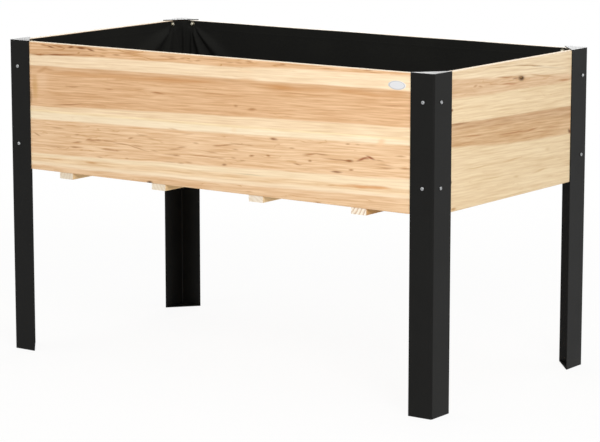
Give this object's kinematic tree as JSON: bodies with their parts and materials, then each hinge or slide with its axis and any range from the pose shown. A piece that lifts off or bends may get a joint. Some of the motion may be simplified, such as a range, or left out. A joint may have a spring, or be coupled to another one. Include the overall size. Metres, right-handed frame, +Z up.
{
  "type": "raised garden bed",
  "caption": "Elevated wooden planter box on folded steel angle legs, with a hung fabric liner over a slatted floor, for growing plants at waist height.",
  "frame": {"origin": "on the ground, under the middle of the bed", "axes": "+X along the length to the right of the front, +Y from the front to the back, +Z up"},
  "size_m": [1.2052, 0.6552, 0.75],
  "materials": {
    "leg_steel": "black powder coat, satin",
    "panel_wood": "planed edge-glued fir, bare",
    "slat_wood": "planed fir, bare",
    "floor_wood": "planed fir, bare",
    "liner_fabric": "black spun-bonded felt",
    "eyelet_metal": "nickel plate",
    "screw_zinc": "zinc plate"
  },
  "bodies": {
    "root": {"leg_front_left": "leg_steel", "leg_front_right": "leg_steel", "leg_back_left": "leg_steel", "leg_back_right": "leg_steel", "front_panel": "panel_wood", "back_panel": "panel_wood", "left_end_panel": "panel_wood", "right_end_panel": "panel_wood", "cross_slat_1": "slat_wood", "cross_slat_2": "slat_wood", "cross_slat_3": "slat_wood", "cross_slat_4": "slat_wood", "floor_board_1": "floor_wood", "floor_board_2": "floor_wood", "floor_board_3": "floor_wood", "floor_board_4": "floor_wood", "floor_board_5": "floor_wood", "liner": "liner_fabric", "liner_eyelets": "eyelet_metal", "leg_screws": "screw_zinc", "liner_screws": "screw_zinc", "slat_screws": "screw_zinc", "floor_screws": "screw_zinc"}
  },
  "joints": []
}
